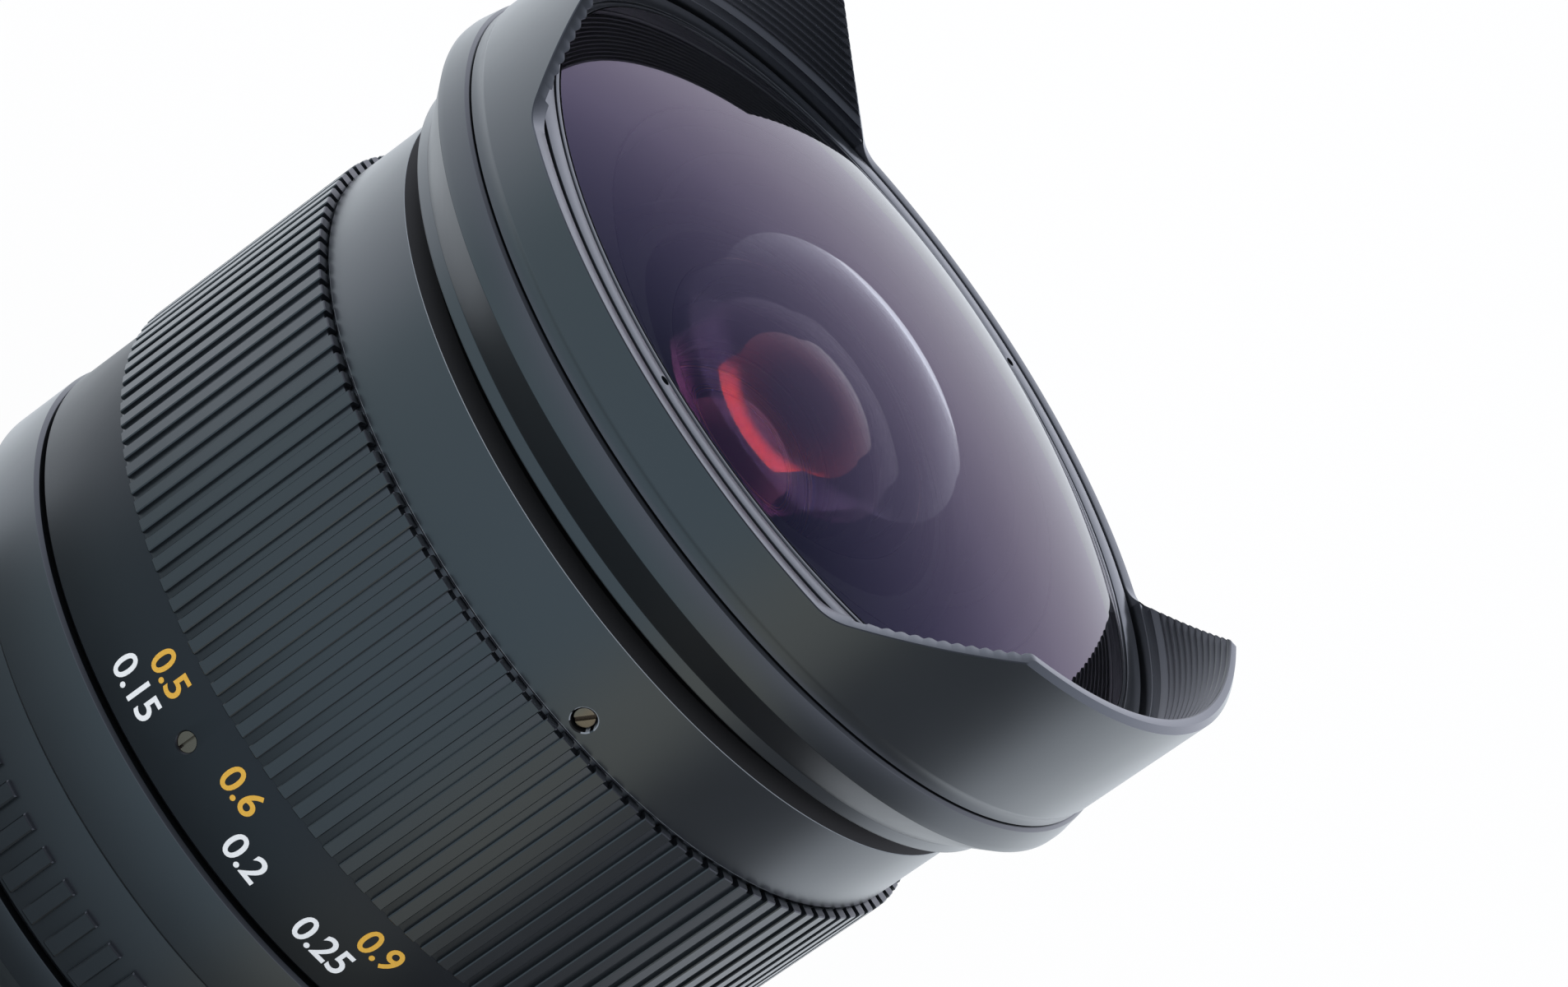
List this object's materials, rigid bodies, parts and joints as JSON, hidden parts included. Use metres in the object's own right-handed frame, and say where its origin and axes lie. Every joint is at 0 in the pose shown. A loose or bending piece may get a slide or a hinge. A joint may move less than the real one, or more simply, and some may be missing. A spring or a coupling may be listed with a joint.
{
  "type": "fisheye lens",
  "caption": "Manual fisheye lens with a two-petal hood, bulging front glass, ribbed focus ring, aperture ring with a bladed iris, and a bayonet mount.",
  "frame": {"origin": "centre of the rear spigot's end face, where the lens stands", "axes": "+Z along the optical axis towards the subject; the petals lie at +Y and -Y, and the index line is at -Y"},
  "size_m": [0.076, 0.076, 0.089],
  "materials": {
    "black_anodised": "satin black anodised",
    "matt_black": "matt black",
    "steel": "machined",
    "brass": "machined",
    "mount_chrome": "satin chrome",
    "red_paint": "gloss",
    "coated_glass": "purple anti-reflection coating",
    "optical_glass": "coated",
    "blade_steel": "matt black"
  },
  "bodies": {
    "barrel": {"bayonet_mount": "mount_chrome", "mount_screws": "steel", "mount_dot": "red_paint", "rear_barrel": "black_anodised", "rear_baffle": "matt_black", "barrel_screws": "steel", "click_ball": "steel", "click_spring": "steel", "guide_barrel": "matt_black", "index_ring": "black_anodised", "front_ring": "black_anodised", "set_screws": "steel"},
    "focus": {"focus_ring": "black_anodised", "cam_sleeve": "matt_black", "sleeve_screws": "steel"},
    "optical_unit": {"front_barrel": "matt_black", "follower_pins": "steel", "hood_base": "black_anodised", "petal_hood": "black_anodised", "front_element": "coated_glass", "front_retaining_ring": "black_anodised", "second_element": "optical_glass", "second_retaining_ring": "matt_black", "front_cell": "matt_black", "cell_screws": "steel", "third_element": "optical_glass", "third_retaining_ring": "matt_black", "iris_base": "matt_black", "iris_base_screws": "steel", "iris_cover": "matt_black", "rear_cell": "matt_black", "rear_cell_screws": "steel", "doublet_crown": "optical_glass", "doublet_flint": "optical_glass", "spacer_tube": "matt_black", "rear_element": "optical_glass", "rear_retaining_ring": "matt_black"},
    "aperture": {"aperture_ring": "black_anodised", "iris_lever": "steel", "lever_screw": "steel"},
    "iris_cam": {"iris_cam_ring": "brass"},
    "blade_1": {"iris_blade_1": "blade_steel"},
    "blade_2": {"iris_blade_2": "blade_steel"},
    "blade_3": {"iris_blade_3": "blade_steel"},
    "blade_4": {"iris_blade_4": "blade_steel"},
    "blade_5": {"iris_blade_5": "blade_steel"},
    "blade_6": {"iris_blade_6": "blade_steel"},
    "blade_7": {"iris_blade_7": "blade_steel"}
  },
  "joints": [
    {"name": "focus_turn", "type": "hinge", "parent": "barrel", "child": "focus", "pos_m": [0, 0, 0.043], "axis": [0, 0, 1], "range_deg": [0, 110]},
    {"name": "unit_slide", "type": "slide", "parent": "barrel", "child": "optical_unit", "axis": [0, 0, 1], "range_m": [0, 0.0011]},
    {"name": "aperture_turn", "type": "hinge", "parent": "barrel", "child": "aperture", "pos_m": [0, 0, 0.018], "axis": [0, 0, 1], "range_deg": [0, 45]},
    {"name": "iris_cam_turn", "type": "hinge", "parent": "optical_unit", "child": "iris_cam", "pos_m": [0, 0, 0.044], "axis": [0, 0, 1], "range_deg": [0, 45.01]},
    {"name": "blade_1_swing", "type": "hinge", "parent": "optical_unit", "child": "blade_1", "pos_m": [0.0182, 0, 0.046], "axis": [0, 0, 1], "range_deg": [0, 27.01]},
    {"name": "blade_2_swing", "type": "hinge", "parent": "optical_unit", "child": "blade_2", "pos_m": [0.01135, 0.01423, 0.046], "axis": [0, 0, 1], "range_deg": [0, 27.01]},
    {"name": "blade_3_swing", "type": "hinge", "parent": "optical_unit", "child": "blade_3", "pos_m": [-0.00405, 0.01774, 0.046], "axis": [0, 0, 1], "range_deg": [0, 27.01]},
    {"name": "blade_4_swing", "type": "hinge", "parent": "optical_unit", "child": "blade_4", "pos_m": [-0.0164, 0.0079, 0.046], "axis": [0, 0, 1], "range_deg": [0, 27.01]},
    {"name": "blade_5_swing", "type": "hinge", "parent": "optical_unit", "child": "blade_5", "pos_m": [-0.0164, -0.0079, 0.046], "axis": [0, 0, 1], "range_deg": [0, 27.01]},
    {"name": "blade_6_swing", "type": "hinge", "parent": "optical_unit", "child": "blade_6", "pos_m": [-0.00405, -0.01774, 0.046], "axis": [0, 0, 1], "range_deg": [0, 27.01]},
    {"name": "blade_7_swing", "type": "hinge", "parent": "optical_unit", "child": "blade_7", "pos_m": [0.01135, -0.01423, 0.046], "axis": [0, 0, 1], "range_deg": [0, 27.01]}
  ],
  "couplings": [
    {"joint": "unit_slide", "follows": "focus_turn", "m_per_rad": 0.00057295},
    {"joint": "iris_cam_turn", "follows": "aperture_turn", "ratio": 1},
    {"joint": "blade_1_swing", "follows": "aperture_turn", "ratio": 0.6},
    {"joint": "blade_2_swing", "follows": "aperture_turn", "ratio": 0.6},
    {"joint": "blade_3_swing", "follows": "aperture_turn", "ratio": 0.6},
    {"joint": "blade_4_swing", "follows": "aperture_turn", "ratio": 0.6},
    {"joint": "blade_5_swing", "follows": "aperture_turn", "ratio": 0.6},
    {"joint": "blade_6_swing", "follows": "aperture_turn", "ratio": 0.6},
    {"joint": "blade_7_swing", "follows": "aperture_turn", "ratio": 0.6}
  ]
}
